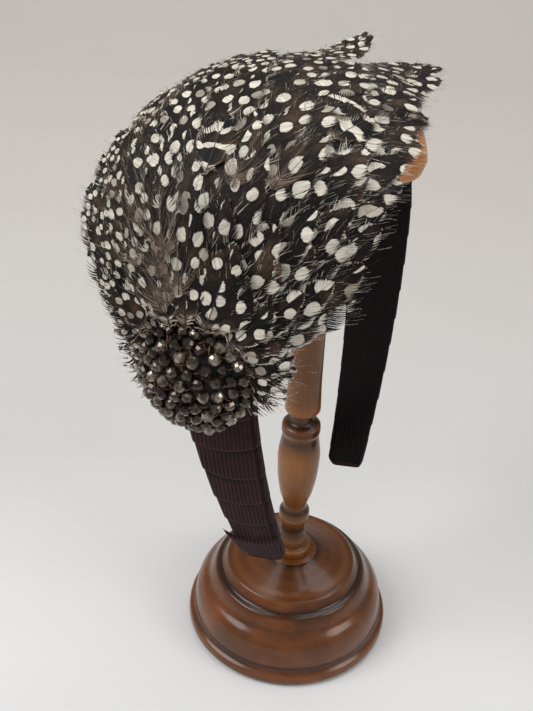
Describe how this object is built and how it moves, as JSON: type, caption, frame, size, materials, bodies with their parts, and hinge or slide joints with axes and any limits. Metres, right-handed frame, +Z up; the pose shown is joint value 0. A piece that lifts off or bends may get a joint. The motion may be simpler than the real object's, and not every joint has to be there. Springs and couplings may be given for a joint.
{
  "type": "feather headband on a wooden stand",
  "caption": "Wrapped headband with a pad of spotted feathers and a domed bead cluster, hung over a small turned wooden stand.",
  "frame": {"origin": "centre of the stand's underside", "axes": "+Z up the column, -Y towards the beaded leg of the headband, +X across the band"},
  "size_m": [0.069, 0.1548, 0.2123],
  "materials": {
    "base_wood": "satin lacquer over walnut stain",
    "column_wood": "satin lacquer",
    "head_wood": "satin lacquer",
    "ribbon": "ribbed grosgrain",
    "felt": "matte felt",
    "beads": "faceted, smoky metallic coating",
    "feather": "soft barbs, dark brown with off-white dots"
  },
  "bodies": {
    "root": {"stand_base": "base_wood", "stand_column": "column_wood", "stand_head": "head_wood", "ribbon_wrapped_band": "ribbon", "ribbon_end_beaded_leg": "ribbon", "ribbon_end_plain_leg": "ribbon", "felt_lining": "felt", "glass_bead_cluster": "beads", "outer_feather_01": "feather", "outer_feather_02": "feather", "outer_feather_03": "feather", "outer_feather_04": "feather", "outer_feather_05": "feather", "outer_feather_06": "feather", "outer_feather_07": "feather", "outer_feather_08": "feather", "outer_feather_09": "feather", "outer_feather_10": "feather", "outer_feather_11": "feather", "outer_feather_12": "feather", "outer_feather_13": "feather", "outer_feather_14": "feather", "outer_feather_15": "feather", "second_row_feather_01": "feather", "second_row_feather_02": "feather", "second_row_feather_03": "feather", "second_row_feather_04": "feather", "second_row_feather_05": "feather", "second_row_feather_06": "feather", "second_row_feather_07": "feather", "second_row_feather_08": "feather", "second_row_feather_09": "feather", "second_row_feather_10": "feather", "second_row_feather_11": "feather", "second_row_feather_12": "feather", "second_row_feather_13": "feather", "third_row_feather_01": "feather", "third_row_feather_02": "feather", "third_row_feather_03": "feather", "third_row_feather_04": "feather", "third_row_feather_05": "feather", "third_row_feather_06": "feather", "third_row_feather_07": "feather", "third_row_feather_08": "feather", "third_row_feather_09": "feather", "third_row_feather_10": "feather", "fourth_row_feather_01": "feather", "fourth_row_feather_02": "feather", "fourth_row_feather_03": "feather", "fourth_row_feather_04": "feather", "fourth_row_feather_05": "feather", "fourth_row_feather_06": "feather", "fourth_row_feather_07": "feather", "beadside_feather_01": "feather", "beadside_feather_02": "feather", "beadside_feather_03": "feather", "beadside_feather_04": "feather", "edge_feather_01": "feather", "edge_feather_02": "feather", "edge_feather_03": "feather"}
  },
  "joints": []
}
